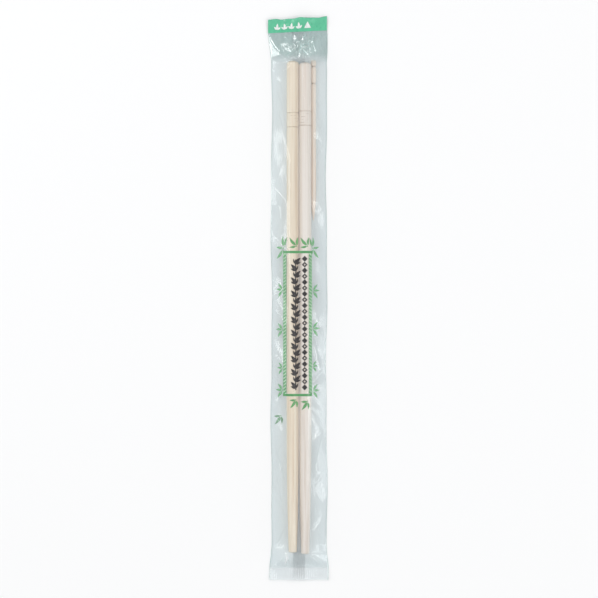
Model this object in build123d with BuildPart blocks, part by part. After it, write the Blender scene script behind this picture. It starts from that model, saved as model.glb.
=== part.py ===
from build123d import *

import os
from math import atan, degrees, sin, sqrt, tan

# A pair of round bamboo chopsticks and a toothpick, heat sealed in a clear film sleeve.
# The set lies on its back seam. +Y runs along the sticks to their butts, +X to the right, +Z up.
# The origin is under the middle of the sleeve, on the surface that it lies on. Lengths are in mm.

# Chopsticks
stick_length = 200.0
stick_diameter = 5.0
tip_diameter = 3.4
taper_length = 50.0
butt_dome = 1.5
butt_knuckle = 1.2
tip_dome = 0.7
tip_knuckle = 0.55
ring_places = (21.3, 27.1)
ring_width = 0.5
ring_depth = 0.2

# Toothpick
pick_length = 65.0
pick_diameter = 2.1
pick_point_length = 11.0
pick_point_diameter = 0.4
pick_end_chamfer = 0.25
notch_places = (2.6, 9.5)
notch_width = 1.0
notch_floor = 0.3
notch_depth = 0.3
pick_lead = 0.3

# Film sleeve
film_thickness = 0.05
sleeve_flat_width = 24.5
header_seal_length = 5.6
header_room = 11.5
foot_room = 5.3
foot_seal_length = 5.0
seam_width = 4.8
seam_layers = 2
seal_layers = 2
seal_mouth_gap = 0.02
fold_room_radius = 0.25

# How far down a bow each of its points lies
bow_shares = (0, 0.35, 0.7, 1)

# How much of the short slope at a seal's mouth each of its two roundings takes
mouth_rounding_share = 0.4

# How the things lie in the sleeve: the clearance between them and at their ends, how much lower the right
# stick has slipped, and how much nearer to its butt its rings were turned
lay_gap = 0.1
end_gap = 0.5
right_slip = 0.6
right_ring_lead = 1.3

# Heights above the surface below: the seam, the back film, then the sticks and the toothpick
stick_radius = stick_diameter / 2
pick_radius = pick_diameter / 2
tip_radius = tip_diameter / 2
seam_thickness = seam_layers * film_thickness
seal_thickness = seal_layers * film_thickness
film_base = seam_thickness
contents_base = film_base + film_thickness + lay_gap
stick_axis_height = contents_base + stick_radius
pick_axis_height = contents_base + pick_radius

# Places across: the sticks lie either side of the middle and the toothpick nestles under the right one
stick_pitch = stick_diameter + lay_gap
stick_x = stick_pitch / 2
pick_centre_distance = stick_radius + pick_radius + lay_gap
pick_x = stick_x + sqrt(pick_centre_distance**2 - (stick_radius - pick_radius) ** 2)

# Places along, from the header seal down to the foot seal
sleeve_length = (
    header_seal_length + header_room + stick_length + right_slip + 2 * end_gap + foot_room + foot_seal_length
)
header_end_y = sleeve_length / 2
header_seal_y = header_end_y - header_seal_length
butt_room_y = header_seal_y - header_room
butt_y = butt_room_y - end_gap
taper_y = butt_y - stick_length + taper_length
tip_y = butt_y - stick_length
tip_room_y = tip_y - right_slip - end_gap
foot_seal_y = tip_room_y - foot_room
foot_end_y = foot_seal_y - foot_seal_length

# The film goes over the sticks at a shoulder that follows them. Its girth is twice its flat width all
# along, so the runs beside the sticks come from the girth, and their slope from the shoulder and the run.
shoulder_radius = stick_radius + lay_gap + film_thickness
slack = sleeve_flat_width - stick_pitch
side_run = (slack + sqrt(slack**2 - (4 * shoulder_radius) ** 2)) / 4
half_slope = atan(shoulder_radius / side_run)


def over_sticks(place, radius):
    """The film's station where the sticks under it have this radius."""
    shoulder = radius + lay_gap
    return place, stick_axis_height + shoulder - film_base - film_thickness, shoulder, fold_room_radius


# Each station of the room inside the film: place along, height, shoulder radius and fold radius.
# The taper is bowed, so the film has a station halfway down it, where it has lost a quarter of its fall.
mouth_rounding = mouth_rounding_share * seal_mouth_gap / sin(2 * half_slope)
mouth = (seal_mouth_gap, mouth_rounding / tan(half_slope), mouth_rounding * tan(half_slope))
halfway_radius = stick_radius - (stick_radius - tip_radius) / 4
tube_stations = (
    (header_seal_y, *mouth),
    over_sticks(butt_room_y, stick_radius),
    over_sticks(taper_y, stick_radius),
    over_sticks((taper_y + tip_y) / 2, halfway_radius),
    over_sticks(tip_room_y, tip_radius),
    (foot_seal_y, *mouth),
)

# Each flat strip of film: its two ends along, width, height of its underside and thickness
flat_strips = (
    (header_seal_y, header_end_y, sleeve_flat_width, film_base, seal_thickness),
    (foot_end_y, foot_seal_y, sleeve_flat_width, film_base, seal_thickness),
    (foot_end_y, header_end_y, seam_width, 0, seam_thickness),
)


def crown_edge(radius, rise, knuckle):
    """Where the shallow crown of a domed end meets its tighter knuckle, across and down from the pole.

    Both arcs are tangent there, and the crown's radius follows from the rise of the whole dome.
    """
    crown = ((radius - knuckle) ** 2 + rise**2 - knuckle**2) / (2 * (rise - knuckle))
    reach = crown / (crown - knuckle)
    return reach * (radius - knuckle), crown - reach * (crown - rise)


def bowed(start_radius, end_radius, length):
    """Points down a long bow that leaves the body in line with it, across and down from its start."""
    fall = start_radius - end_radius
    return [(start_radius - fall * share**2, length * share) for share in bow_shares]


def chopstick(axis_x, slip, ring_lead):
    """A turned stick: domed butt, two ring grooves, parallel body and a long bowed taper to a rounded tip."""
    seat = Plane(origin=(axis_x, butt_y - slip, stick_axis_height))
    butt_meet = crown_edge(stick_radius, butt_dome, butt_knuckle)
    tip_meet = crown_edge(tip_radius, tip_dome, tip_knuckle)
    edge = [(stick_radius, butt_dome)]
    for place in ring_places:
        edge.append((stick_radius, place - ring_lead - ring_width / 2))
        edge.append((stick_radius - ring_depth, place - ring_lead))
        edge.append((stick_radius, place - ring_lead + ring_width / 2))
    taper_start = stick_length - taper_length
    for across, down in bowed(stick_radius, tip_radius, taper_length - tip_dome):
        edge.append((across, taper_start + down))
    with BuildPart() as stick:
        with BuildSketch(seat):
            with BuildLine():
                TangentArc((0, 0), (butt_meet[0], -butt_meet[1]), tangent=(1, 0))
                TangentArc((stick_radius, -butt_dome), (butt_meet[0], -butt_meet[1]), tangent=(0, 1))
                Polyline(*[(across, -down) for across, down in edge])
                tip_edge = (tip_meet[0], tip_meet[1] - stick_length)
                TangentArc((tip_radius, tip_dome - stick_length), tip_edge, tangent=(0, -1))
                TangentArc((0, -stick_length), tip_edge, tangent=(1, 0))
                Line((0, -stick_length), (0, 0))
            make_face()
        revolve(axis=Axis(seat.origin, seat.y_dir))
    return stick


def toothpick_at(axis_x):
    """A round pick: a blunt end with two turned notches, a plain body and a long slim point."""
    seat = Plane(origin=(axis_x, butt_y + pick_lead, pick_axis_height))
    edge = [(0, 0), (pick_radius - pick_end_chamfer, 0), (pick_radius, pick_end_chamfer)]
    for place in notch_places:
        edge.append((pick_radius, place - notch_width / 2))
        edge.append((pick_radius - notch_depth, place - notch_floor / 2))
        edge.append((pick_radius - notch_depth, place + notch_floor / 2))
        edge.append((pick_radius, place + notch_width / 2))
    point_start = pick_length - pick_point_length
    for across, down in bowed(pick_radius, pick_point_diameter / 2, pick_point_length):
        edge.append((across, point_start + down))
    edge.append((0, pick_length))
    with BuildPart() as pick:
        with BuildSketch(seat):
            with BuildLine():
                Polyline(*[(across, -down) for across, down in edge], close=True)
            make_face()
        revolve(axis=Axis(seat.origin, seat.y_dir))
    return pick


chopstick_left = chopstick(-stick_x, 0, 0)
chopstick_right = chopstick(stick_x, right_slip, right_ring_lead)
toothpick = toothpick_at(pick_x)

# The outside of the film tube and the room in it are lofts through the same stations. The outer sections
# stand off by the film, for an even wall, and both keep the slope of the sides, so that each is flat.
with BuildPart() as film_sleeve:
    for wall, tube_mode in ((film_thickness, Mode.ADD), (0, Mode.SUBTRACT)):
        for place, height, shoulder, fold in tube_stations:
            girth_width = sleeve_flat_width - (height + 2 * film_thickness) * tan(half_slope)
            with BuildSketch(Plane.XZ.offset(-place)) as section:
                with Locations((0, film_base + film_thickness - wall)):
                    Trapezoid(
                        girth_width - 2 * (film_thickness - wall) / tan(half_slope),
                        height + 2 * wall,
                        degrees(2 * half_slope),
                        align=(Align.CENTER, Align.MIN),
                    )
                fillet(section.vertices().group_by(Axis.Y)[-1], shoulder + wall)
                fillet(section.vertices().group_by(Axis.Y)[0], fold + wall)
        loft(ruled=True, mode=tube_mode)
    for low_y, high_y, width, base, thickness in flat_strips:
        with BuildSketch(Plane.XY.offset(base)):
            with Locations((0, (low_y + high_y) / 2)):
                Rectangle(width, high_y - low_y)
        extrude(amount=thickness)

os.makedirs("parts", exist_ok=True)
finished = {
    "chopstick_left": chopstick_left,
    "chopstick_right": chopstick_right,
    "toothpick": toothpick,
    "film_sleeve": film_sleeve,
}
for name, piece in finished.items():
    piece.part.label = name
    export_step(piece.part, f"parts/{name}.step")
    print(name, piece.part.bounding_box())
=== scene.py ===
import math

import bpy
import numpy as np
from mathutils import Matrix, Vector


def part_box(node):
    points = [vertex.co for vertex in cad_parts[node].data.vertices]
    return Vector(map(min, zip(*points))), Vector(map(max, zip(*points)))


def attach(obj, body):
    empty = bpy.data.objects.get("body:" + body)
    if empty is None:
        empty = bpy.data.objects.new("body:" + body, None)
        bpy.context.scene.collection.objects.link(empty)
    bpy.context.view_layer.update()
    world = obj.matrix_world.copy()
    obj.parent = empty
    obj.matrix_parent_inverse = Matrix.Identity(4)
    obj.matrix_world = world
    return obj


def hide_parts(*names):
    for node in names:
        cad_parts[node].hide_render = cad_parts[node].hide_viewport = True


# One wrapped pair of bamboo chopsticks, seen from straight above. Sizes below are in millimetres unless a
# comment says otherwise, and turn to metres where a mesh or a material is made.

mm = 0.001

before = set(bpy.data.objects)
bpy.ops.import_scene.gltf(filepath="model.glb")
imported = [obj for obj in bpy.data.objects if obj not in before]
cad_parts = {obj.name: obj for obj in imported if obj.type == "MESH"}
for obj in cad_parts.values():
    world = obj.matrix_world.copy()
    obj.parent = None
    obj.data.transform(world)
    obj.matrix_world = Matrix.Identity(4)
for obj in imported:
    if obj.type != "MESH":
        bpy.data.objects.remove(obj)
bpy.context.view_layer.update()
print("frame loaded:", ", ".join(sorted(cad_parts)))


def nodeBox(name):
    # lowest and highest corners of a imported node, in millimetres
    low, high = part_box(name)
    return np.array(low) * 1000, np.array(high) * 1000


# Shader tools

class Wire:
    # One output of a node. Sums and products of wires and numbers add Math nodes to the same tree.
    def __init__(self, tree, socket=None):
        self.tree = tree
        self.socket = socket

    def node(self, kind, settings=None, inputs=None, output=0):
        made = self.tree.nodes.new(kind)
        for key, value in (settings or {}).items():
            setattr(made, key, value)
        for key, value in (inputs or {}).items():
            if isinstance(value, Wire):
                self.tree.links.new(value.socket, made.inputs[key])
            else:
                made.inputs[key].default_value = value
        return Wire(self.tree, made.outputs[output])

    def maths(self, operation, *values):
        return self.node("ShaderNodeMath", {"operation": operation}, dict(enumerate(values)))

    def __add__(self, other):
        return self.maths("ADD", self, other)

    def __radd__(self, other):
        return self.maths("ADD", other, self)

    def __sub__(self, other):
        return self.maths("SUBTRACT", self, other)

    def __rsub__(self, other):
        return self.maths("SUBTRACT", other, self)

    def __mul__(self, other):
        return self.maths("MULTIPLY", self, other)

    def __rmul__(self, other):
        return self.maths("MULTIPLY", other, self)

    def __abs__(self):
        return self.maths("ABSOLUTE", self)

    def between(self, low, high):
        # eased from 0 at low to 1 at high
        return self.node("ShaderNodeMapRange", {"interpolation_type": "SMOOTHSTEP"},
                         {0: self, 1: low, 2: high, 3: 0.0, 4: 1.0})

    def blend(self, first, second):
        # this wire as the share of the second colour over the first
        return self.node("ShaderNodeMix", {"data_type": "RGBA"}, {0: self, 6: first, 7: second}, 2)

    def noise(self, stretch, detail=2.0, roughness=0.5, lean=0.0):
        # noise over this wire's places, stretch being its repeats a metre along each axis; lean bends it
        place = self.node("ShaderNodeMapping", {"vector_type": "POINT"}, {"Vector": self, "Scale": stretch})
        return self.node("ShaderNodeTexNoise", {},
                         {"Vector": place, "Scale": 1.0, "Detail": detail, "Roughness": roughness,
                          "Distortion": lean})


def opaque(colour):
    return (*colour, 1)


white = opaque((1, 1, 1))


def newMaterial(name):
    # an empty material, its start wire and its output node
    material = bpy.data.materials.new(name)
    material.use_nodes = True
    material.node_tree.nodes.clear()
    output = material.node_tree.nodes.new("ShaderNodeOutputMaterial")
    return material, Wire(material.node_tree), output


def surfaceTo(output, wire):
    # ends a material, or the world, in this shader
    wire.tree.links.new(wire.socket, output.inputs["Surface"])


def seenRays(start):
    # 1 for what the camera sees, straight, mirrored or through something clear, and 0 for what only lights
    first = start.node("ShaderNodeLightPath")
    seen = first
    for ray in ("Is Glossy Ray", "Is Transmission Ray"):
        seen = seen.maths("MAXIMUM", seen, Wire(start.tree, first.socket.node.outputs[ray]))
    return seen


# Mesh tools

def grid(down, across):
    # two tables of parameters: the first changes from row to row, the second from column to column
    return np.meshgrid(down, across, indexing="ij")


def gridFaces(rows, columns, ring=False):
    # the four corners of every cell of a grid of points, counted row by row; a ring joins its last column
    # to its first
    row, column = grid(np.arange(rows - 1), np.arange(columns if ring else columns - 1))
    after = (column + 1) % columns
    corners = [row * columns + column, row * columns + after, (row + 1) * columns + after,
               (row + 1) * columns + column]
    return np.stack(corners, axis=-1).reshape(-1, 4)


def newPiece(name, points, quads, material, ends=(), marks=None):
    # a piece from points in millimetres, a table of quads and a list of other faces; marks are attributes
    # by name, each with one value for each point
    mesh = bpy.data.meshes.new(name)
    mesh.from_pydata((np.asarray(points).reshape(-1, 3) * mm).tolist(), [],
                     np.asarray(quads).tolist() + [np.asarray(end).tolist() for end in ends])
    mesh.polygons.foreach_set("use_smooth", [True] * len(mesh.polygons))
    for key, values in (marks or {}).items():
        attribute = mesh.attributes.new(key, "FLOAT", "POINT")
        attribute.data.foreach_set("value", np.asarray(values, float).ravel())
    mesh.materials.append(material)
    mesh.update()
    piece = bpy.data.objects.new(name, mesh)
    bpy.context.scene.collection.objects.link(piece)
    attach(piece, "root")
    return piece


# Bamboo

bamboo = {
    "left": {"pale": (0.93, 0.835, 0.71), "deep": (0.81, 0.665, 0.52), "seed": 1.3},
    "right": {"pale": (0.915, 0.85, 0.80), "deep": (0.79, 0.68, 0.60), "seed": 7.9},
    "pick": {"pale": (0.98, 0.86, 0.76), "deep": (0.92, 0.74, 0.62), "seed": 4.4},
    "fibre": (0.46, 0.31, 0.18),
    "ringColour": (0.22, 0.105, 0.05),
    # noises, in repeats a metre across and along the fibres
    "slow": (420, 11, 420),
    "strand": (1500, 16, 1500),
    "fine": (5200, 26, 5200),
    "broad": (760, 8, 760),
    "uneven": (300, 90, 300),
    # what the slow, strand and broad noises add to the deep tone, and how strong the darker bundles are
    "deepShares": (0.28, 0.42, 0.30),
    "bundleShare": 0.5,
    # half the solid width of the brown in a ring and in a scribed line, the line's reach beside a ring's,
    # and its strength
    "ringCore": 0.04,
    "lineCore": 0.03,
    "lineReach": 0.6,
    "lineShade": 0.42,
    "roughness": (0.5, 0.68),
    "bumpStrength": 0.6,
    "bumpHeight": 0.03,
}


def bambooMaterial(name, tone, ringPlaces, ringReach, ringShade, scribed):
    # long pale fibres along Y, darker bundles among them, slow tone changes, browned ring grooves, and faint
    # broken lines scribed between them
    material, start, output = newMaterial(name)
    place = start.node("ShaderNodeTexCoord", output=3)
    seeded = start.node("ShaderNodeVectorMath", {"operation": "ADD"}, {0: place, 1: (tone["seed"], 0, 0)})
    slow = seeded.noise(bamboo["slow"])
    strand = seeded.noise(bamboo["strand"], detail=2.5, roughness=0.55)
    fine = seeded.noise(bamboo["fine"], roughness=0.6)
    broad = seeded.noise(bamboo["broad"], detail=1.0)
    bundle = fine.between(0.58, 0.72) * strand.between(0.35, 0.62)
    slowShare, strandShare, broadShare = bamboo["deepShares"]
    depth = (slow.between(0.36, 0.66) * slowShare + strand.between(0.40, 0.64) * strandShare
             + broad.between(0.40, 0.62) * broadShare)
    colour = depth.blend(opaque(tone["pale"]), opaque(tone["deep"]))
    colour = (bundle * bamboo["bundleShare"]).blend(colour, opaque(bamboo["fibre"]))
    along = start.node("ShaderNodeSeparateXYZ", {}, {0: place}, 1)
    brown = opaque(bamboo["ringColour"])
    uneven = 0.35 + seeded.noise(bamboo["uneven"], detail=1.0).between(0.3, 0.7)
    for ring in ringPlaces:
        near = 1 - abs(along - ring * mm).between(bamboo["ringCore"] * mm, ringReach * mm)
        colour = (near * uneven * ringShade).blend(colour, brown)
    for number in range(scribed):
        share = (number + 1) / (scribed + 1)
        line = ringPlaces[0] + (ringPlaces[1] - ringPlaces[0]) * share
        reach = ringReach * bamboo["lineReach"]
        near = 1 - abs(along - line * mm).between(bamboo["lineCore"] * mm, reach * mm)
        broken = seeded.noise((500, 260 + 90 * number, 500), detail=1.0).between(0.5, 0.68)
        colour = (near * broken * bamboo["lineShade"]).blend(colour, brown)
    low, high = bamboo["roughness"]
    bump = start.node("ShaderNodeBump", {}, {"Strength": bamboo["bumpStrength"],
                                             "Distance": bamboo["bumpHeight"] * mm,
                                             "Height": fine * 0.6 + strand * 0.8})
    surfaceTo(output, start.node("ShaderNodeBsdfPrincipled", {}, {
        "Base Color": colour, "Roughness": low + (high - low) * fine, "IOR": 1.45, "Normal": bump}))
    return material


def arc(middle, radius, fromAngle, toAngle, count):
    # points of a circle, as distance from the axis and distance down from the end
    angle = np.linspace(fromAngle, toAngle, count)
    return np.stack([middle[0] + radius * np.sin(angle), middle[1] - radius * np.cos(angle)], axis=1)


def domedEnd(radius, rise, knuckle, count=10):
    # a shallow crown from the pole that runs into a tighter knuckle, both tangent where they meet
    crown = ((radius - knuckle) ** 2 + rise**2 - knuckle**2) / (2 * (rise - knuckle))
    turn = math.asin((radius - knuckle) / (crown - knuckle))
    first = arc((0, crown), crown, 0, turn, count)
    second = arc((radius - knuckle, rise), knuckle, turn, math.pi / 2, count)
    return np.concatenate([first, second[1:]])


def rowsDown(start, end, count, notches, reach):
    # even rows from start to end, and thirteen closer ones over each notch
    close = [notch + np.linspace(-reach, reach, 13) for notch in notches]
    return np.unique(np.concatenate([np.linspace(start, end, count), *close]))


def placed(node, profile):
    # the axis, the upper end and the profile of a turned thing
    low, high = nodeBox(node)
    return (low[0] + high[0]) / 2, (low[2] + high[2]) / 2, high[1], profile


# how the surface of a turned thing wanders: waves round it, millimetres down it to a radian, and share
wanderWaves = ((2, 31, 1.0), (3, -17, 0.6), (5, 9, 0.4))


def turned(name, node, profile, material, around, stray, seed):
    # a profile of (radius, distance down) carried round the node's own axis; stray is how far the surface
    # wanders, as a sum of sines of the turn and of the way down
    axisX, axisZ, topY, profile = placed(node, profile)
    inner = profile[1:-1]
    down, angle = grid(inner[:, 1], np.linspace(0, 2 * math.pi, around, endpoint=False))
    starts = np.random.default_rng(seed).uniform(0, 2 * math.pi, len(wanderWaves))
    waves = [share * np.sin(angle * count + down / run + start)
             for (count, run, share), start in zip(wanderWaves, starts)]
    wander = stray * sum(waves) / 2
    radius = inner[:, 0][:, None] * (1 + wander / inner[:, 0].max())
    points = np.stack([axisX + radius * np.sin(angle), topY - down, axisZ + radius * np.cos(angle)], axis=-1)
    poles = np.array([[axisX, topY - profile[0, 1], axisZ], [axisX, topY - profile[-1, 1], axisZ]])
    first, pole = np.arange(around), np.full(around, len(inner) * around)
    last = (len(inner) - 1) * around + first
    fans = [*np.stack([pole, first, np.roll(first, -1)], axis=1),
            *np.stack([pole + 1, np.roll(last, -1), last], axis=1)]
    quads = gridFaces(len(inner), around, ring=True)[:, ::-1]
    piece = newPiece(name, np.concatenate([points.reshape(-1, 3), poles]), quads, material, fans)
    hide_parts(node)


stick = {
    "length": 200.0,
    "radius": 2.5,
    "tipRadius": 1.7,
    "taperLength": 50.0,
    "buttRise": 1.5,
    "buttKnuckle": 1.2,
    "tipRise": 0.7,
    "tipKnuckle": 0.55,
    "ringDepth": 0.2,
    "ringHalfWidth": 0.25,
    "ringRounding": 1.3,
    # places of the two rings down from the butt, and the seed of the surface's wander
    "left": {"rings": (21.3, 27.1), "seed": 3},
    "right": {"rings": (20.0, 25.8), "seed": 8},
    # the brown's reach each side of a ring, its strength, and how many lines are scribed between the rings
    "ringReach": 0.3,
    "ringShade": 0.3,
    "scribed": 4,
    "stray": 0.03,
    "around": 88,
    "bodyRows": 40,
    "bowRows": 25,
}


def stickProfile(rings):
    # dome, straight body with a rounded notch at each ring, a bow that loses its radius by the square of
    # the way down, and the dome of the tip
    taperStart = stick["length"] - stick["taperLength"]
    body = rowsDown(stick["buttRise"], taperStart, stick["bodyRows"], rings, 0.4)
    radius = np.full(len(body), stick["radius"])
    for ring in rings:
        share = np.clip(1 - abs(body - ring) / stick["ringHalfWidth"], 0, 1)
        radius -= stick["ringDepth"] * share ** stick["ringRounding"]
    down = np.linspace(0, 1, stick["bowRows"] + 1)[1:]
    fall = stick["radius"] - stick["tipRadius"]
    bow = np.stack([stick["radius"] - fall * down**2,
                    taperStart + (stick["taperLength"] - stick["tipRise"]) * down], axis=1)
    tip = domedEnd(stick["tipRadius"], stick["tipRise"], stick["tipKnuckle"])[::-1][1:]
    tip = np.stack([tip[:, 0], stick["length"] - tip[:, 1]], axis=1)
    butt = domedEnd(stick["radius"], stick["buttRise"], stick["buttKnuckle"])[:-1]
    return np.concatenate([butt, np.stack([radius, body], axis=1), bow, tip])


contents = []
for side, node in (("left", "chopstick_left"), ("right", "chopstick_right")):
    rings = stick[side]["rings"]
    contents.append(placed(node, stickProfile(rings)))
    top = nodeBox(node)[1][1]
    material = bambooMaterial(f"bamboo {side}", bamboo[side], [top - ring for ring in rings],
                              stick["ringReach"], stick["ringShade"], stick["scribed"])
    turned(f"chopstick.{side}", node, stickProfile(rings), material, stick["around"],
           stick["stray"], stick[side]["seed"])
print("chopsticks turned")

pick = {
    "length": 65.0,
    "radius": 1.05,
    "pointLength": 11.0,
    "pointRadius": 0.2,
    "chamfer": 0.25,
    "notches": (2.6, 9.5),
    "notchDepth": 0.3,
    "notchHalfWidth": 0.5,
    "notchSlope": 0.35,
    # the brown's reach each side of a notch, and its strength
    "notchReach": 0.55,
    "notchShade": 0.32,
    "bluntLength": 0.15,
    "stray": 0.012,
    "seed": 5,
    "around": 40,
    "bodyRows": 24,
    "bowRows": 17,
}


def pickProfile():
    # blunt chamfered end, two turned notches, plain body and a bowed point, rounded off at its very end
    pointStart = pick["length"] - pick["pointLength"]
    body = rowsDown(pick["chamfer"], pointStart, pick["bodyRows"], pick["notches"], 0.6)
    radius = np.full(len(body), pick["radius"])
    for notch in pick["notches"]:
        share = np.clip((pick["notchHalfWidth"] - abs(body - notch)) / pick["notchSlope"], 0, 1)
        radius -= pick["notchDepth"] * share
    down = np.linspace(0, 1, pick["bowRows"] + 1)[1:]
    bow = np.stack([pick["radius"] - (pick["radius"] - pick["pointRadius"]) * down**2,
                    pointStart + (pick["pointLength"] - pick["bluntLength"]) * down], axis=1)
    end = np.array([[pick["pointRadius"] * 0.6, pick["length"] - 0.03], [0, pick["length"]]])
    start = np.array([[0, 0], [pick["radius"] - pick["chamfer"], 0.0]])
    return np.concatenate([start, np.stack([radius, body], axis=1), bow, end])


contents.append(placed("toothpick", pickProfile()))
top = nodeBox("toothpick")[1][1]
material = bambooMaterial("toothpick wood", bamboo["pick"], [top - notch for notch in pick["notches"]],
                          pick["notchReach"], pick["notchShade"], 0)
turned("toothpick.round", "toothpick", pickProfile(), material, pick["around"], pick["stray"],
       pick["seed"])
print("toothpick turned")


# The film sleeve. A place on it is (around, along): around is the distance round the tube from the middle
# of the front, along is Y.

sleeve = {
    "girth": 49.0,
    "end": 114.5,
    "slope": math.radians(33.12),
    "backHeight": 0.1,
    # along, height of the tube there, and the radius that it goes over the sticks with
    "stations": ((114.5, 0.10, 0.03), (108.9, 0.12, 0.08), (107.0, 0.42, 0.3), (104.5, 1.15, 0.9),
                 (101.5, 2.4, 1.7), (99.0, 3.9, 2.3), (97.4, 4.95, 2.6), (96.2, 5.3, 2.65),
                 (-53.1, 5.3, 2.65), (-78.4, 5.1, 2.45), (-103.4, 4.5, 1.85), (-104.5, 4.0, 1.8),
                 (-105.9, 2.7, 1.4), (-107.5, 1.25, 0.8), (-108.8, 0.32, 0.2), (-109.5, 0.12, 0.08),
                 (-114.5, 0.10, 0.03)),
    # what changes along it: where each change starts, and the length that it takes
    "changes": {
        "pastButts": (96, 3), "belowButts": (96, -3), "headerRoom": (96, 4), "headerTurns": (98.5, 11),
        "headerLifts": (103, 11.5), "nearHeaderSeal": (109.2, -1.6), "headerSeal": (108.7, 0.4),
        "ragged": (110, 4.5),
        "pastTips": (-103, -1.5), "aboveTips": (-103, 3), "footRoom": (-104, -4),
        "footLifts": (-104, -10.5), "nearFootSeal": (-109.8, 1.2), "footSeal": (-109.3, -0.4),
    },
    "frontReach": 13.4,
    "clearance": 0.06,
    # how far each corner is rounded, around and along, and half the width of the painted shade line along a
    # fold
    "rounding": (0.3, 0.8),
    "foldWidth": 0.42,
    "sideSag": 0.5,
    "sideWave": 0.28,
    "edgeWander": 0.22,
    # the valley between the sticks: its dip, and the painted highlight line along it
    "valleySag": 0.4,
    "valleyHalfWidth": 2.4,
    "glintHalfWidth": 0.55,
    "glint": (0.5, 0.12),
    "headerLift": 0.85,
    "footLift": 0.6,
    "headerDrift": -0.62,
    "headerSlant": 0.055,
    # the least slackness in each seal, and how much haze the foot's room has beside the header's
    "headerLeast": 0.25,
    "footLeast": 0.1,
    "footRoomShare": 0.12,
    # the grid's steps: round the front and the back, then along the ends and the part between them
    "frontStep": 0.26,
    "backStep": 0.75,
    "endStep": 0.26,
    "bodyStep": 0.8,
    "body": (-99, 92),
}


def ramp(value, start, length):
    # 0 up to start and 1 from a length past it, straight between; a negative length runs the other way
    return np.clip((value - start) / length, 0, 1)


def change(name, along):
    # how far one of the sleeve's changes has come
    return ramp(along, *sleeve["changes"][name])


def station(along):
    # height, shoulder radius, width of the flat top and length of the sloping side, from the girth
    table = np.array(sleeve["stations"])[::-1]
    height = np.interp(along, table[:, 0], table[:, 1])
    radius = np.interp(along, table[:, 0], table[:, 2])
    slope = sleeve["slope"]
    side = (height - radius * (1 - math.cos(slope))) / math.sin(slope)
    shoulders = 2 * radius * (slope + math.sin(slope))
    width = (sleeve["girth"] - shoulders - 2 * side * (1 + math.cos(slope))) / 2
    return height, radius, width, side


def section(around, along):
    # flat top, then an arc over the shoulder, a straight side down to the fold, and back under to the
    # middle; each stretch is measured by its length, so a print keeps its size
    height, radius, width, side = station(along)
    slope = sleeve["slope"]
    reach = abs(around)
    onArc = np.clip(reach - width / 2, 0, radius * slope)
    onSide = np.clip(reach - width / 2 - radius * slope, 0, side)
    onBack = np.clip(reach - width / 2 - radius * slope - side, 0, None)
    turn = onArc / radius
    x = np.minimum(reach, width / 2) + radius * np.sin(turn) + onSide * math.cos(slope) - onBack
    z = height - radius * (1 - np.cos(turn)) - onSide * math.sin(slope)
    share = np.clip((reach - width / 2 - radius * slope * 0.5) / (side + radius * slope * 0.5), 0, 1)
    # closeness to the fold, where the film's colour paints a shade line
    foldShade = np.exp(-(((reach - width / 2 - radius * slope - side) / sleeve["foldWidth"]) ** 2))
    return x * np.sign(around), z, share * (onBack <= 0), foldShade


def contentsTop(x, along):
    # the height of the sticks and the toothpick at each place: a circle's height over its axis, by their
    # own profiles, and nothing beside them
    top = np.zeros_like(x)
    for centreX, centreZ, end, profile in contents:
        radius = np.interp(end - along, profile[:, 1], profile[:, 0], left=0, right=0)
        over = radius**2 - (x - centreX) ** 2
        top = np.maximum(top, np.where(over > 0, centreZ + np.sqrt(np.maximum(over, 0)), 0))
    return top


def shifted(x, along):
    # the loose header lies a little to the left of the sticks, and turns, so that its left end hangs lower;
    # its cut edge is a little ragged, as two sines of the place across
    loose = change("headerTurns", along) ** 1.4
    ragged = change("ragged", along) * (0.16 * np.sin(x / 1.9 + 1) + 0.1 * np.sin(x / 0.8) - 0.05)
    return x + sleeve["headerDrift"] * loose, along + sleeve["headerSlant"] * x * loose + ragged


creases = {
    "seed": 21,
    "sealSeed": 5,
    # how many, from and to around, from and to along, most height, least and most width
    "film": (
        {"count": 34, "from": ((-11.5, 11.5), (107.0, 109.4)), "to": ((-6.5, 7.5), (95.5, 101.0)),
         "height": 0.40, "width": (0.28, 0.8)},
        {"count": 13, "from": ((-11.0, -2.0), (99.0, 108.0)), "to": ((2.0, 11.0), (99.0, 108.0)),
         "height": 0.23, "width": (0.4, 1.0)},
        {"count": 16, "from": ((-11.0, 11.0), (-109.8, -108.2)), "to": ((-7.0, 7.0), (-105.5, -100.0)),
         "height": 0.30, "width": (0.28, 0.7)},
        {"count": 36, "from": ((-12.8, -8.5), (-104.0, 99.0)), "to": ((-7.5, -4.6), None), "reach": (4, 18),
         "height": 0.24, "width": (0.35, 1.1)},
        {"count": 36, "from": ((8.5, 12.8), (-104.0, 99.0)), "to": ((4.6, 7.5), None), "reach": (4, 18),
         "height": 0.24, "width": (0.35, 1.1)},
    ),
    "seals": (
        {"count": 16, "from": ((-12.5, 12.5), (106.5, 110.0)), "to": ((-12.5, 12.5), (112.0, 116.0)),
         "height": 0.5, "width": (0.4, 1.2)},
        {"count": 8, "from": ((-12.5, 12.5), (-115.5, -112.5)), "to": ((-12.5, 12.5), (-110.0, -107.0)),
         "height": 0.26, "width": (0.5, 1.3)},
    ),
    # the least height beside the most, the chances of a furrow and of a ridge, and how far a line bows
    "leastShare": 0.35,
    "chances": (0.4, 0.6),
    "bow": 0.06,
    # the rounding of a crest, squared, the width of the line of painted highlight (ridge) and painted shade
    # (furrow) along it, and the height that paints it in full
    "crest": 0.015,
    "lineWidth": 0.26,
    "lineHeight": 0.3,
}


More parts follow.
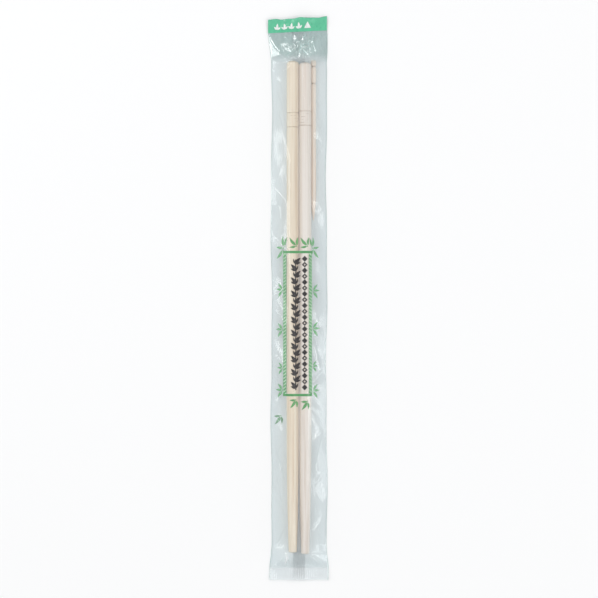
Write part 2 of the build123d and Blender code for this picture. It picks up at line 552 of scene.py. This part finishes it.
def creaseHeights(around, along, fans, seed):
    # each crease is a ridge or a furrow along a short line: it falls away as e to the minus distance over
    # width, and dies out towards its two ends; its own line, painted highlight along a ridge and painted
    # shade along a furrow, falls away by the square
    rng = np.random.default_rng(seed)
    total, ridgeGlint, furrowShade = np.zeros((3, *around.shape))
    for fan in fans:
        count = fan["count"]
        startReach, startStretch = fan["from"]
        startRound, startAlong = rng.uniform(*startReach, count), rng.uniform(*startStretch, count)
        endReach, endStretch = fan["to"]
        endRound = rng.uniform(*endReach, count)
        if endStretch is None:
            endAlong = startAlong + rng.choice([-1, 1], count) * rng.uniform(*fan["reach"], count)
        else:
            endAlong = rng.uniform(*endStretch, count)
        height = fan["height"] * rng.uniform(creases["leastShare"], 1, count)
        height = height * rng.choice([-1, 1], count, p=creases["chances"])
        width = rng.uniform(*fan["width"], count)
        for a, v, b, w, high, wide in zip(startRound, startAlong, endRound, endAlong, height, width):
            length = (b - a) ** 2 + (w - v) ** 2
            bow = creases["bow"] * math.sqrt(length) * math.sin(a * 7 + w)
            share = np.clip(((around - a) * (b - a) + (along - v) * (w - v)) / length, 0, 1)
            offRound = around - a - share * (b - a) - bow * 4 * share * (1 - share)
            away = np.sqrt(offRound**2 + (along - v - share * (w - v)) ** 2 + creases["crest"])
            fade = 1 - (2 * share - 1) ** 4
            total += high * np.exp(-away / wide) * fade
            line = abs(high) / creases["lineHeight"] * np.exp(-((away / creases["lineWidth"]) ** 2)) * fade
            if high > 0:
                # painted highlight along a ridge
                ridgeGlint += line
            else:
                # painted shade along a furrow
                furrowShade += line
    return total, np.clip(ridgeGlint, 0, 1), np.clip(furrowShade, 0, 1)


def endLift(x, along):
    # the two seals rise from the table towards their ends by the square of the way, a little unevenly from
    # side to side, and are lightly crumpled
    head = change("headerLifts", along) ** 2
    foot = change("footLifts", along) ** 2
    headWave = 1 + 0.35 * np.sin(x / 3.1 + 0.8) + 0.2 * np.sin(x / 1.7 - along / 2.3)
    footWave = 1 + 0.3 * np.sin(x / 2.6 + 2.1)
    lift = sleeve["headerLift"] * head * headWave + sleeve["footLift"] * foot * footWave
    crumple = creaseHeights(x, along + 0 * x, creases["seals"], creases["sealSeed"])[0]
    return np.maximum(lift + crumple * np.maximum(head, foot) ** 0.5, 0)


def looseness(around, along, share):
    # 0 where the film lies on the sticks, on the table or in a seal, and up to 1 where it hangs free
    head = change("pastButts", along) * np.maximum(change("nearHeaderSeal", along), sleeve["headerLeast"])
    foot = change("pastTips", along) * np.maximum(change("nearFootSeal", along), sleeve["footLeast"])
    side = np.sin(math.pi * np.clip(share, 0, 1)) ** 0.7
    return np.clip(side + (head + foot) * ramp(abs(around), 13.2, -1.2), 0, 1)


def filmPoints(around, along):
    # the mean of nine sections, a little before and behind and to both sides, rounds every corner; then the
    # sides sag and wave, as sines of the way along, the valley between the sticks dips, the creases are
    # added, the film is lifted clear of what is inside, its edges wander, and the ends lift
    x, z, share, foldShade = np.zeros((4, *around.shape))
    stepAround, stepAlong = sleeve["rounding"]
    steps = [(da, dv) for da in (-stepAround, 0.0, stepAround) for dv in (-stepAlong, 0.0, stepAlong)]
    for da, dv in steps:
        part = section(around + da, np.clip(along + dv, -sleeve["end"], sleeve["end"]))
        x, z, share, foldShade = (total + piece / len(steps) for total, piece in zip((x, z, share, foldShade), part))
    loose = looseness(around, along, share)
    overSticks = change("belowButts", along) * change("aboveTips", along)
    onTop = overSticks * (share <= 0.2)
    swell = np.sin(math.pi * share) * overSticks
    height, ridgeGlint, furrowShade = creaseHeights(around, along, creases["film"], creases["seed"])
    side = np.sign(around)
    wave = np.sin(along / 7.3 + side * 1.9) + 0.7 * np.sin(along / 3.9 + side * 0.6 + around / 3)
    bend = height * loose - sleeve["sideSag"] * swell + sleeve["sideWave"] * swell * wave
    bend -= sleeve["valleySag"] * np.clip(1 - (x / sleeve["valleyHalfWidth"]) ** 2, 0, 1) * onTop
    z = np.maximum(z + bend, 0.02) + sleeve["backHeight"]
    overContents = (abs(around) < sleeve["frontReach"]) & (z > 0.4)
    z = np.where(overContents, np.maximum(z, contentsTop(x, along) + sleeve["clearance"]), z)
    wander = np.sin(along / 13 + side) + 0.6 * np.sin(along / 5.7 + side * 2.3)
    x = x + side * sleeve["edgeWander"] * wander * ramp(abs(x), 7, 4) * overSticks
    z = z + endLift(x, along)
    x, y = shifted(x, along)
    room = change("headerRoom", along) + sleeve["footRoomShare"] * change("footRoom", along)
    mean, swing = sleeve["glint"]
    # a painted highlight line along the valley between the sticks, gathered with the ridges' painted
    # highlights
    glint = np.exp(-((x / sleeve["glintHalfWidth"]) ** 2)) * onTop * (mean + swing * np.sin(along / 8 + 1))
    # the ridge, furrow and fold marks place the film's painted highlight and painted shade
    marks = {"slack": loose, "foldShade": foldShade, "ridgeGlint": ridgeGlint * loose + glint, "furrowShade": furrowShade * loose,
             "room": room}
    return np.stack([x, y, z], axis=-1), marks


frontReach, halfGirth, sleeveEnd = sleeve["frontReach"], sleeve["girth"] / 2, sleeve["end"]
front = np.linspace(-frontReach, frontReach, int(2 * frontReach / sleeve["frontStep"]) + 1)
back = np.linspace(frontReach, 2 * halfGirth - frontReach,
                   int((2 * halfGirth - 2 * frontReach) / sleeve["backStep"]) + 2)[1:-1]
foot, head = sleeve["body"]
alongPlaces = np.concatenate([np.arange(-sleeveEnd, foot, sleeve["endStep"]),
                              np.arange(foot, head, sleeve["bodyStep"]),
                              np.arange(head, sleeveEnd - 0.1, sleeve["endStep"]), [sleeveEnd]])
aroundGrid, alongGrid = np.meshgrid(np.concatenate([front, back]), alongPlaces)
wrapped = np.where(aroundGrid > halfGirth, aroundGrid - 2 * halfGirth, aroundGrid)
filmGrid, filmMarks = filmPoints(wrapped, alongGrid)
filmMarks["seal"] = change("headerSeal", alongGrid) + change("footSeal", alongGrid)


def film(around, along, lift):
    # a place on the front of the film, read between the points of its own grid, and lifted off it
    column = np.clip(np.searchsorted(front, around) - 1, 0, len(front) - 2)
    row = np.clip(np.searchsorted(alongPlaces, along) - 1, 0, len(alongPlaces) - 2)
    s = ((around - front[column]) / (front[column + 1] - front[column]))[..., None]
    t = ((along - alongPlaces[row]) / (alongPlaces[row + 1] - alongPlaces[row]))[..., None]
    a, b = filmGrid[row, column], filmGrid[row, column + 1]
    c, d = filmGrid[row + 1, column], filmGrid[row + 1, column + 1]
    place = (a * (1 - s) + b * s) * (1 - t) + (c * (1 - s) + d * s) * t
    out = np.cross((b - a) * (1 - t) + (d - c) * t, (c - a) * (1 - s) + (d - b) * s)
    return place + lift * out / np.linalg.norm(out, axis=-1, keepdims=True)


filmLook = {
    "tint": (0.965, 0.983, 0.988),
    "haze": (0.62, 0.74, 0.77),
    "bright": (0.96, 0.985, 1.0),
    "dark": (0.23, 0.445, 0.42),
    # how much each of these hides of what lies behind the film
    "taut": 0.045,
    "slack": 0.12,
    "room": 0.27,
    "glance": 0.45,
    # the ridge lines are painted highlight; the furrow and fold lines are painted shade
    "ridgeGlint": 0.34,
    "furrowShade": 0.22,
    "foldShade": 0.30,
    "seal": 0.13,
    # how much a seal and a taut place pale the haze, and how much the loose header darkens it
    "sealPale": 0.5,
    "tautPale": 0.45,
    "roomShade": 0.72,
    # clouds of haze and wrinkles, in repeats a metre, and the scale of the ribs in the seals
    "cloud": (130, 50, 130),
    "wrinkle": (150, 45, 150),
    "ribScale": 350.0,
    "ribHeight": 0.22,
    "wrinkleLeast": 0.12,
    "bumpStrength": 0.6,
    "bumpHeight": 0.6,
    "roughness": (0.07, 0.16),
    "mirror": 2.5,
    # the index that the film's shine at a glance is worked out with, and what that gives face on
    "rim": 1.45,
    "faceOn": 0.034,
}


def filmMaterial(name, tint):
    # clear film: mostly see-through, with a thin bluish haze where it is slack, painted highlight lines
    # along its ridges and painted shade lines along its furrows and its two folds
    material, start, output = newMaterial(name)
    look = filmLook
    place = start.node("ShaderNodeTexCoord", output=3)
    slack, seal, ridgeGlint, furrowShade, foldShade, room = (
        start.node("ShaderNodeAttribute", {"attribute_name": mark}, output=2)
        for mark in ("slack", "seal", "ridgeGlint", "furrowShade", "foldShade", "room"))
    patch = place.noise(look["cloud"], lean=0.5).between(0.3, 0.7)
    ribs = start.node("ShaderNodeTexWave", {"wave_type": "BANDS", "bands_direction": "X"},
                      {"Vector": place, "Scale": look["ribScale"], "Distortion": 0.0})
    wrinkle = place.noise(look["wrinkle"], detail=1.0, roughness=0.4, lean=0.5)
    height = wrinkle * (look["wrinkleLeast"] + slack) + ribs * seal * look["ribHeight"]
    bump = start.node("ShaderNodeBump", {}, {"Strength": look["bumpStrength"],
                                             "Distance": look["bumpHeight"] * mm, "Height": height})
    haze = (look["slack"] - look["taut"]) * slack + look["room"] * room
    glance = start.node("ShaderNodeFresnel", {}, {"IOR": look["rim"]}) - look["faceOn"]
    cover = look["taut"] + haze * (0.5 + patch) + glance * look["glance"]
    for mark, wire in (("ridgeGlint", ridgeGlint), ("furrowShade", furrowShade), ("foldShade", foldShade), ("seal", seal)):
        cover = cover + wire * look[mark]
    # paler with the painted highlight of ridges and the valley, and with the haze of seals and taut places
    pale = (ridgeGlint + seal * look["sealPale"] + (1 - slack) * look["tautPale"]).between(0.0, 0.9)
    # darker with the painted shade of furrows and folds, and with the loose header's haze
    dark = (furrowShade + foldShade + room * look["roomShade"]).between(0.0, 0.9)
    colour = dark.blend(pale.blend(opaque(look["haze"]), opaque(look["bright"])), opaque(look["dark"]))
    low, high = look["roughness"]
    shine = start.node("ShaderNodeBsdfPrincipled", {}, {
        "Base Color": colour, "Roughness": low + (high - low) * patch, "IOR": look["mirror"],
        "Specular IOR Level": 1.0, "Normal": bump})
    clear = start.node("ShaderNodeBsdfTransparent", {}, {"Color": opaque(tint)})
    surfaceTo(output, start.node("ShaderNodeMixShader", {}, {0: cover, 1: clear, 2: shine}))
    return material


def ringEnds(rows, columns):
    # the two faces that close a ring of columns, at its first row and at its last
    return [np.arange(columns)[::-1], (rows - 1) * columns + np.arange(columns)]


clearFilm = filmMaterial("clear film", filmLook["tint"])
filmSize = filmGrid.shape[:2]
sleevePiece = newPiece("sleeve.film", filmGrid, gridFaces(*filmSize, ring=True), clearFilm,
                       ringEnds(*filmSize), filmMarks)
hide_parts("film_sleeve")
print("film sleeve drawn:", filmSize[0], "by", filmSize[1])

seam = {
    # places across its under side, then back across its upper side
    "under": (-2.4, -2.1, -1.0, 0, 1.0, 2.1, 2.4),
    "over": (2.4, 2.1, 0, -2.1, -2.4),
    "width": 4.8,
    "thickness": 0.09,
    "pitch": 1.0,
    "ribHeight": 0.035,
    "plainEdge": 0.3,
    "step": 0.2,
    "tint": (0.996, 0.999, 1.0),
}


def seamPoints(across, along, under):
    # a flat strip under the back film; its lower face is pressed into ribs, a sine along its length
    rib = seam["ribHeight"] * (0.5 + 0.5 * np.cos(2 * math.pi * along / seam["pitch"]))
    edge = np.clip((seam["width"] / 2 - abs(across)) / seam["plainEdge"], 0, 1)
    z = np.where(under, rib * edge, seam["thickness"]) + endLift(across, along)
    x, y = shifted(across, along)
    return np.stack([x, y, z], axis=-1)


acrossSeam, alongSeam = np.meshgrid(np.array(seam["under"] + seam["over"]),
                                    np.arange(-sleeveEnd, sleeveEnd + 0.01, seam["step"]))
seamSize = acrossSeam.shape
isUnder = np.broadcast_to(np.arange(seamSize[1]) < len(seam["under"]), seamSize)
newPiece("sleeve.seam", seamPoints(acrossSeam, alongSeam, isUnder),
         gridFaces(*seamSize, ring=True)[:, ::-1], filmMaterial("seam film", seam["tint"]),
         [face[::-1] for face in ringEnds(*seamSize)])
print("back seam pressed")


# Print. Each shape is a grid of two parameters laid out flat, then carried onto the film.

ink = {
    # the height of one layer, and the most that a cell of it measures, across and along
    "lift": 0.02,
    "cell": (0.4, 0.8),
    "green": {"colour": (0.05, 0.29, 0.085), "cover": 0.86},
    "leaf": {"colour": (0.09, 0.37, 0.12), "cover": 0.74},
    "pale": {"colour": (0.60, 0.91, 0.62), "cover": 0.55},
    "header": {"colour": (0.10, 0.53, 0.31), "cover": 0.90},
    "black": {"colour": (0.012, 0.010, 0.012), "cover": 0.95},
    "white": {"colour": (0.88, 0.92, 0.90), "cover": 0.92},
    # specks and clouds in the ink, in repeats a metre, and its colour's factors where it is thick and thin
    "speck": (900, 700, 900),
    "cloud": (190, 130, 190),
    "thick": 0.86,
    "thin": 1.25,
    # the width of a leaf's stalk, and how far the leaf bows, beside its length
    "stalk": 0.14,
    "leafBow": 0.06,
}


def inkMaterial(name):
    # printed colour on film: nearly solid, a little uneven, with the film's own gloss over it
    material, start, output = newMaterial(f"{name} ink")
    place = start.node("ShaderNodeTexCoord", output=3)
    speck = place.noise(ink["speck"], detail=3.0, roughness=0.65)
    cloud = place.noise(ink["cloud"], lean=0.8)
    thick = [part * ink["thick"] for part in ink[name]["colour"]]
    thin = [min(1, part * ink["thin"] + 0.01) for part in ink[name]["colour"]]
    colour = (cloud * 0.5 + speck * 0.3).blend(opaque(thick), opaque(thin))
    cover = ink[name]["cover"] * (0.9 + 0.2 * speck)
    solid = start.node("ShaderNodeBsdfPrincipled", {}, {
        "Base Color": colour, "Roughness": 0.2 + 0.2 * speck, "IOR": 1.48, "Coat Weight": 0.12,
        "Coat Roughness": 0.08, "Coat IOR": 1.7})
    clear = start.node("ShaderNodeBsdfTransparent", {}, {"Color": white})
    surfaceTo(output, start.node("ShaderNodeMixShader", {}, {0: cover, 1: clear, 2: solid}))
    return material


inks = {name: inkMaterial(name) for name in ("green", "leaf", "pale", "header", "black", "white")}


class Print:
    # gathers flat shapes, then makes them one piece on the front film, or under the back film; what is in
    # layer 2 lies over layer 1
    def __init__(self, under=False):
        self.points, self.faces, self.count, self.under = [], [], 0, under

    def add(self, around, along, layer=1):
        # a grid runs one way or the other by the sum of its cells' cross products, and its corners are
        # taken in the order that looks up on the front and down on the back
        lift = layer * ink["lift"]
        if self.under:
            places = np.stack([around, along, 0 * around + sleeve["backHeight"] - lift], axis=-1)
        else:
            places = film(around, along, lift)
        flat = np.stack([around, along])
        wide, long = np.diff(flat, axis=2)[:, :-1], np.diff(flat, axis=1)
        facingUp = (wide[0] * long[1, :, :-1] - wide[1] * long[0, :, :-1]).sum() > 0
        self.faces.append(gridFaces(*around.shape)[:, ::-1 if facingUp == self.under else 1] + self.count)
        self.points.append(places.reshape(-1, 3))
        self.count += around.size

    def box(self, left, right, low, high, layer=1, cell=ink["cell"]):
        # an upright rectangle, cut into cells so that it follows the film
        columns, rows = int((right - left) / cell[0]) + 2, int((high - low) / cell[1]) + 2
        self.add(*np.meshgrid(np.linspace(left, right, columns), np.linspace(low, high, rows)), layer)

    def bar(self, start, end, width, layer=1):
        # a straight stroke between two places
        start, end = np.array(start, float), np.array(end, float)
        run = end - start
        side = np.array([-run[1], run[0]]) / np.linalg.norm(run) * width / 2
        t, s = grid(np.linspace(0, 1, int(np.linalg.norm(run) / ink["cell"][0]) + 2), [1, -1])
        self.add(start[0] + run[0] * t + side[0] * s, start[1] + run[1] * t + side[1] * s, layer)

    def leaf(self, root, tip, width, bow, layer):
        # a lance-shaped leaf: its half width is the sine of the way along, fullest before the middle, about
        # a line that bows out by a share of its length
        root, tip = np.array(root, float), np.array(tip, float)
        run = tip - root
        t, s = grid(np.linspace(0, 1, 11), np.linspace(-1, 1, 5))
        across = width / 2 * (0.07 + 0.93 * np.sin(math.pi * t**0.75)) * s / np.linalg.norm(run)
        across = across + bow * 4 * t * (1 - t)
        self.add(root[0] + run[0] * t - run[1] * across, root[1] + run[1] * t + run[0] * across, layer)

    def sprig(self, root, leaves, mirror=1, size=1.0, layer=1):
        # leaves given by root, tip and width about one place, each on a thin stalk from it
        root = np.array(root, float)
        for x0, v0, x1, v1, width in leaves:
            base = root + size * np.array([x0 * mirror, v0])
            tip = root + size * np.array([x1 * mirror, v1])
            self.bar(root, base, ink["stalk"] * size, layer)
            self.leaf(base, tip, width * size, ink["leafBow"] * mirror, layer)

    def make(self, name, material):
        newPiece(name, np.concatenate(self.points), np.concatenate(self.faces), material)


header = {
    "top": 114.45,
    "bottom": 108.95,
    "halfWidth": 12.15,
    "cell": (0.25, 0.25),
    "triangle": {"middle": 4.1, "low": 110.3, "high": 112.9, "halfWidth": 1.4, "rows": 25},
    "leaves": (-8.2, -5.3, -2.4, 0.5),
    "leafFoot": 110.1,
}

band = Print()
band.box(-header["halfWidth"], header["halfWidth"], header["bottom"], header["top"], cell=header["cell"])
band.make("print.header", inks["header"])

# sprigs: each leaf's root, tip and width about the place that they grow from
sprigs = {
    "corner": ((0.2, 1.3, 0.1, 5.4, 1.15), (0.9, 1.4, 1.9, 4.9, 1.0), (-0.3, 0.6, -3.1, 1.0, 1.0),
               (-0.3, -0.4, -3.0, -3.8, 1.2), (0.1, -0.4, 1.1, -3.2, 1.0)),
    "fan": ((-0.4, 0.2, -3.0, -0.2, 0.9), (-0.4, 0.6, -3.0, 3.7, 1.15), (0.1, 0.6, 0.5, 3.8, 1.0)),
    "side": ((0.4, 0.4, 2.4, 2.7, 1.05), (0.5, 0.0, 3.3, 0.2, 0.95), (0.3, -0.4, 2.3, -2.9, 1.15)),
    "low": ((-0.3, -0.3, -2.6, -0.4, 0.9), (-0.3, -0.6, -2.3, -3.6, 1.1), (0.1, -0.7, 0.4, -3.3, 0.95)),
    "mark": ((-0.1, 0.3, -1.3, 1.35, 0.85), (0.0, 0.5, 0.15, 2.6, 0.9), (0.1, 0.2, 1.25, 1.0, 0.8)),
}

headerMarks = Print()
shape = header["triangle"]
t, s = grid(np.linspace(0, 1, shape["rows"]), np.linspace(-1, 1, shape["rows"]))
headerMarks.add(shape["middle"] + s * shape["halfWidth"] * (1 - 0.97 * t),
                shape["low"] + t * (shape["high"] - shape["low"]), layer=2)
for number, middle in enumerate(header["leaves"]):
    mirror = -1 if number % 2 else 1
    headerMarks.sprig((middle, header["leafFoot"]), sprigs["mark"], mirror, layer=2)
headerMarks.make("print.headerMarks", inks["white"])
print("header printed")

panel = {
    "left": -7.0,
    "right": 5.6,
    "top": 19.6,
    "bottom": -39.5,
    "sideWidth": 1.6,
    "endWidth": 1.1,
    "lineWidth": 0.13,
    "endBar": (0.12, 0.98),
    "hatchPitch": 1.35,
    "hatchWidth": 0.62,
    "hatchRise": 1.0,
    # how far the hatching stays from the sides, from the bottom and from the top
    "hatchInset": 0.16,
    "hatchFrom": 1.5,
    "hatchTo": 1.3,
}

left, right, top, bottom = (panel[edge] for edge in ("left", "right", "top", "bottom"))
leftInside, rightInside = left + panel["sideWidth"], right - panel["sideWidth"]
ground = Print()
ground.box(left, leftInside, bottom, top)
ground.box(rightInside, right, bottom, top)
ground.box(leftInside, rightInside, bottom, bottom + panel["endWidth"])
ground.box(leftInside, rightInside, top - panel["endWidth"], top)
ground.make("print.panelGround", inks["pale"])

border = Print()
for low, rise in ((left, panel["hatchRise"] / 2), (rightInside, -panel["hatchRise"] / 2)):
    high = low + panel["sideWidth"]
    for edge in (low, high - panel["lineWidth"]):
        border.box(edge, edge + panel["lineWidth"], bottom, top, layer=2)
    first, last = low + panel["hatchInset"], high - panel["hatchInset"]
    for place in np.arange(bottom + panel["hatchFrom"], top - panel["hatchTo"], panel["hatchPitch"]):
        border.bar((first, place - rise), (last, place + rise), panel["hatchWidth"], layer=2)
for edge in (top - panel["endWidth"], bottom):
    border.box(left, right, edge + panel["endBar"][0], edge + panel["endBar"][1], layer=2)
border.make("print.border", inks["green"])

# where each sprig grows, which sprig it is, whether it is mirrored, and its size
foliage = Print()
for root, kind, mirror, size in (
    ((-7.1, 20.2), "corner", 1, 1.0), ((6.1, 20.2), "corner", -1, 0.92),
    ((-0.9, 21.2), "fan", 1, 1.0), ((3.6, 21.2), "fan", 1, 1.0),
    ((-7.2, 3.6), "side", -1, 1.0), ((-7.2, -12.6), "side", -1, 1.0), ((-7.2, -28.2), "side", -1, 0.85),
    ((-7.2, -37.2), "side", -1, 1.0),
    ((5.9, 3.2), "side", 1, 1.0), ((5.9, -12.2), "side", 1, 1.05), ((5.9, -27.4), "side", 1, 0.8),
    ((5.9, -37.4), "side", 1, 1.0),
    ((-1.2, -40.6), "low", 1, 1.0), ((3.5, -41.2), "low", 1, 1.05),
):
    foliage.sprig(root, sprigs[kind], mirror, size)
foliage.make("print.sprigs", inks["leaf"])

# the large column is one long leafy bamboo branch, and the small one a row of lozenges
branch = {
    "middle": -1.35,
    "top": 16.0,
    "bottom": -37.0,
    "stem": 0.42,
    "sway": 0.16,
    "pitch": 2.65,
    "count": 20,
    "firstLeaf": 1.6,
    "leaves": ((0.1, 0.0, 1.95, 2.3, 1.25), (0.15, -0.35, 2.0, 0.45, 0.95), (-0.1, -0.2, -0.95, 1.9, 0.7)),
}
lozenges = {
    "width": 2.3,
    "height": 2.3,
    "pitch": 2.37,
    "stroke": 0.7,
    # each row's middle, top, count and size; on the back a third row stands above one of the two
    "front": ((2.3, 16.3, 23, 1.0),),
    "back": ((-3.9, 14.0, 24, 0.85), (3.9, 14.0, 24, 0.85), (3.9, 67.0, 17, 0.85)),
}


def lozengeRow(shapes, middle, top, count, size):
    # solid lozenges, with every second one drawn as an outline, whose four sides are straight
    halfWidth, halfHeight = lozenges["width"] / 2 * size, lozenges["height"] / 2 * size
    for number in range(count):
        v = top - number * lozenges["pitch"]
        if number % 2:
            t, s = grid(np.linspace(0, 4, 17), [1, 0])
            part, side = t % 1, (t.astype(int) % 4)
            across = np.choose(side, (part, 1 - part, -part, part - 1))
            along = np.choose(side, (1 - part, -part, part - 1, part))
            inner = 1 - s * lozenges["stroke"] / halfWidth
            shapes.add(middle + across * halfWidth * inner, v + along * halfHeight * inner)
        else:
            t, s = grid(np.linspace(-1, 1, 7), np.linspace(-1, 1, 7))
            shapes.add(middle + s * halfWidth * (1 - 0.95 * abs(t)), v + t * halfHeight)


columns = Print()
t, s = grid(np.linspace(0, 1, 90), [-1, 0, 1])
stemAlong = branch["bottom"] + t * (branch["top"] - branch["bottom"])
stemMiddle = branch["middle"] + branch["sway"] * np.sin(stemAlong * math.pi / branch["pitch"])
columns.add(stemMiddle + s * branch["stem"] / 2, stemAlong)
for number in range(branch["count"]):
    v = branch["top"] - branch["firstLeaf"] - number * branch["pitch"]
    columns.sprig((branch["middle"], v), branch["leaves"], -1 if number % 2 else 1)
for row in lozenges["front"]:
    lozengeRow(columns, *row)
columns.make("print.columns", inks["black"])
print("front printed")

# under the back film, either side of the seam
backPrint = Print(under=True)
for row in lozenges["back"]:
    lozengeRow(backPrint, *row)
backPrint.make("print.backColumns", inks["black"])
backSprig = Print(under=True)
backSprig.sprig((-7.4, -47.3), sprigs["low"], size=1.05)
backSprig.make("print.backSprig", inks["leaf"])
print("back printed")


# Camera, floor and light. Places and sizes here are in metres, apart from the lens and its sensor.

view = {"frame": 0.244, "lens": 120.0, "sensor": 36.0}
cameraData = bpy.data.cameras.new("camera")
cameraData.lens = view["lens"]
cameraData.sensor_width = view["sensor"]
cameraData.clip_end = 20
camera = bpy.data.objects.new("camera", cameraData)
camera.location = (0, 0, view["frame"] * view["lens"] / view["sensor"])
bpy.context.scene.collection.objects.link(camera)
bpy.context.scene.camera = camera

studio = {
    "floor": (0.885, 0.89, 0.895),
    "reach": 6,
    "level": -0.00002,
    # how much the floor is raised near by and far off, and from where to where that changes
    "lift": 0.03,
    "farLift": 0.5,
    "farFrom": (0.25, 2.4),
    # how bright the sky is as a light, and as something seen
    "sky": 0.74,
    "behind": 1.0,
    # each lamp's place, its two sizes and its power; all of them look at the middle
    "lamps": {
        "key": ((-0.55, 0.45, 0.9), (0.45, 0.35), 2.6),
        "fill": ((0.7, -0.2, 0.8), (0.4, 0.6), 1.6),
        "leftStrip": ((-1.5, 0.1, 0.75), (0.12, 0.9), 1.7),
        "rightStrip": ((1.5, -0.1, 0.75), (0.12, 0.9), 1.4),
        "farStrip": ((0.2, 1.5, 0.85), (0.9, 0.12), 1.3),
        "nearStrip": ((-0.2, -1.5, 0.85), (0.9, 0.12), 1.1),
    },
}


def floorMaterial():
    # a white sheet; what the camera sees of it is raised a little, so that it shows white and keeps its
    # shadows, and raised more far off, where the lamps don't reach
    material, start, output = newMaterial("floor")
    place = start.node("ShaderNodeTexCoord", output=3)
    away = start.node("ShaderNodeVectorMath", {"operation": "LENGTH"}, {0: place}, 1)
    lift = studio["lift"] + studio["farLift"] * away.between(*studio["farFrom"])
    sheet = start.node("ShaderNodeBsdfDiffuse", {}, {"Color": opaque(studio["floor"]), "Roughness": 0.0})
    glow = start.node("ShaderNodeEmission", {}, {"Color": white, "Strength": seenRays(start) * lift})
    surfaceTo(output, start.node("ShaderNodeAddShader", {}, {0: sheet, 1: glow}))
    return material


floorMesh = bpy.data.meshes.new("floor")
floorCorners = [(x * studio["reach"], y * studio["reach"], studio["level"])
                for x, y in ((-1, -1), (1, -1), (1, 1), (-1, 1))]
floorMesh.from_pydata(floorCorners, [], [(0, 1, 2, 3)])
floorMesh.materials.append(floorMaterial())
floor = bpy.data.objects.new("floor", floorMesh)
bpy.context.scene.collection.objects.link(floor)

for name, (place, size, power) in studio["lamps"].items():
    data = bpy.data.lights.new(name, "AREA")
    data.shape = "RECTANGLE"
    data.size, data.size_y = size
    data.energy = power
    lamp = bpy.data.objects.new(name, data)
    lamp.location = place
    tilt = math.atan2(math.hypot(place[0], place[1]), place[2])
    lamp.rotation_euler = (tilt, 0, math.atan2(place[0], -place[1]))
    bpy.context.scene.collection.objects.link(lamp)

world = bpy.data.worlds.new("sky")
world.use_nodes = True
world.node_tree.nodes.clear()
sky = Wire(world.node_tree)
strength = studio["sky"] + seenRays(sky) * (studio["behind"] - studio["sky"])
background = sky.node("ShaderNodeBackground", {}, {"Color": white, "Strength": strength})
surfaceTo(world.node_tree.nodes.new("ShaderNodeOutputWorld"), background)
bpy.context.scene.world = world
bpy.context.scene.view_settings.view_transform = "Standard"
print("camera, floor and light set")
